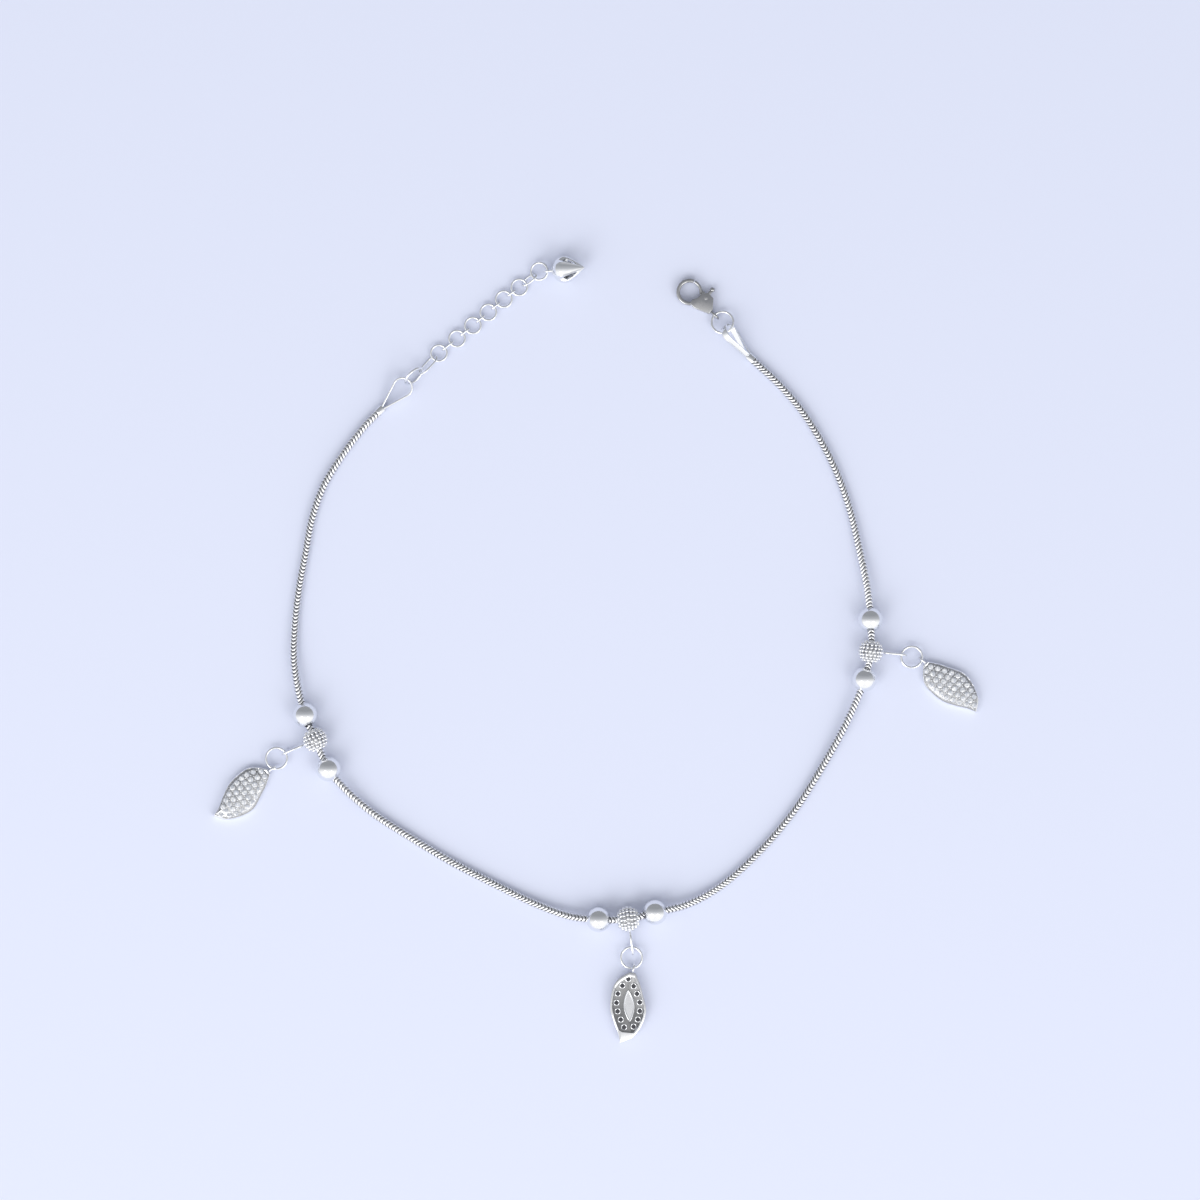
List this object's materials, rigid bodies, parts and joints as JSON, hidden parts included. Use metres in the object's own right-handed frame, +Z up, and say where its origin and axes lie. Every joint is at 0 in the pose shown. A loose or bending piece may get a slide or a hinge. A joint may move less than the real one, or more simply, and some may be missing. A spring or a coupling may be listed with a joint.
{
  "type": "payal anklet",
  "caption": "Silver payal anklet laid open: snake chain with ball and grain bead groups, leaf charms, lobster clasp, ring extender and a small petalled bell.",
  "frame": {"origin": "on the surface that the anklet lies on, under the middle of its whole outline", "axes": "+Z up from the surface, +Y from the bottom leaf towards the open ends, +X towards the clasp side"},
  "size_m": [0.1162, 0.1194, 0.0042],
  "materials": {
    "snake_chain": "bright snake chain of bent links, dark between the links",
    "polished_silver": "mirror polished silver",
    "grained_silver": "bright silver grains with darkened hollows",
    "pave_silver": "polished silver setting with cut and raised beads",
    "white_stone": "clear white round brilliants"
  },
  "bodies": {
    "anklet": {"chain": "snake_chain", "ball_left_1": "polished_silver", "ball_left_2": "polished_silver", "grain_bead_left": "grained_silver", "charm_ring_left": "polished_silver", "leaf_charm_left": "pave_silver", "ball_bottom_1": "polished_silver", "ball_bottom_2": "polished_silver", "grain_bead_bottom": "grained_silver", "charm_ring_bottom": "polished_silver", "leaf_charm_bottom": "pave_silver", "ball_right_1": "polished_silver", "ball_right_2": "polished_silver", "grain_bead_right": "grained_silver", "charm_ring_right": "polished_silver", "leaf_charm_right": "pave_silver", "chain_end_clasp": "polished_silver", "chain_end_free": "polished_silver", "clasp_ring": "polished_silver", "clasp_body": "polished_silver", "extender_jump_ring": "polished_silver", "extender_link_1": "polished_silver", "extender_link_2": "polished_silver", "extender_link_3": "polished_silver", "extender_link_4": "polished_silver", "extender_link_5": "polished_silver", "extender_link_6": "polished_silver", "extender_link_7": "polished_silver", "extender_ring_1": "polished_silver", "extender_ring_2": "polished_silver", "extender_ring_3": "polished_silver", "extender_ring_4": "polished_silver", "extender_ring_5": "polished_silver", "extender_ring_6": "polished_silver", "extender_end_ring": "polished_silver", "bell": "polished_silver"},
    "lever": {"clasp_lever": "polished_silver"}
  },
  "joints": [
    {"name": "clasp_lever_pivot", "type": "hinge", "parent": "anklet", "child": "lever", "pos_m": [0.01668, 0.05333, 0.0008], "axis": [0, 0, 1], "range_deg": [0, 25], "stiffness_Nm_per_rad": 0.0002, "springref_deg": -17.19}
  ]
}
